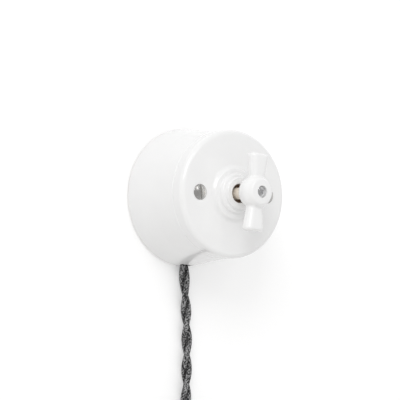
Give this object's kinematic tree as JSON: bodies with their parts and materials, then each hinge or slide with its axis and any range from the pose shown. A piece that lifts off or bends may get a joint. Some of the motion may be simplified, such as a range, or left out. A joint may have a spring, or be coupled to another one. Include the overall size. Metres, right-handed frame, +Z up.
{
  "type": "rotary light switch",
  "caption": "Round surface-mounted porcelain rotary light switch: deep tapered box, stepped cover, butterfly knob on a turning spindle, twisted textile cord at the bottom.",
  "frame": {"origin": "middle of the back face, on the wall", "axes": "+Z up, +X to the right seen from the front, -Y out of the wall along the spindle"},
  "size_m": [0.0874, 0.0666, 0.2333],
  "materials": {
    "porcelain": "white glossy glaze",
    "steatite": "unglazed cream",
    "brown_resin": "moulded brown phenolic",
    "nickel": "nickel plated",
    "chrome": "bright",
    "steel": "zinc plated",
    "brass": "turned",
    "bronze": "rolled strip",
    "copper": "bare wire",
    "fibre": "vulcanised fibre",
    "textile": "braided, mottled dark grey",
    "tie": "cotton tape"
  },
  "bodies": {
    "housing": {"wall_box": "porcelain", "cover": "porcelain", "cover_screws": "nickel", "cover_inserts": "brass", "dust_washer": "fibre", "mechanism_body": "steatite", "mechanism_screws": "steel", "mechanism_nuts": "brass", "detent_springs": "bronze", "front_plate": "brown_resin", "spindle_bush": "brass", "plate_posts": "brass", "plate_screws": "brass", "terminals": "brass", "terminal_screws": "brass", "left_contact": "bronze", "right_contact": "bronze", "cord_clamp": "fibre", "clamp_screws": "brass", "left_core": "textile", "right_core": "textile", "left_conductor": "copper", "right_conductor": "copper", "cord": "textile", "cord_coil": "textile", "cord_tie": "tie", "cord_tail": "textile", "tail_cores": "textile", "tail_conductors": "copper"},
    "rotor": {"knob": "porcelain", "knob_screw": "chrome", "spindle": "brass", "spindle_sleeve": "steatite", "retaining_ring": "steel", "contact_drum": "steatite", "drum_bridge": "brass", "detent_cam": "steel"}
  },
  "joints": [
    {"name": "knob_turn", "type": "hinge", "parent": "housing", "child": "rotor", "pos_m": [0, 0, 0], "axis": [0, 1, 0], "continuous": true, "deforming": ["detent_springs"]}
  ]
}
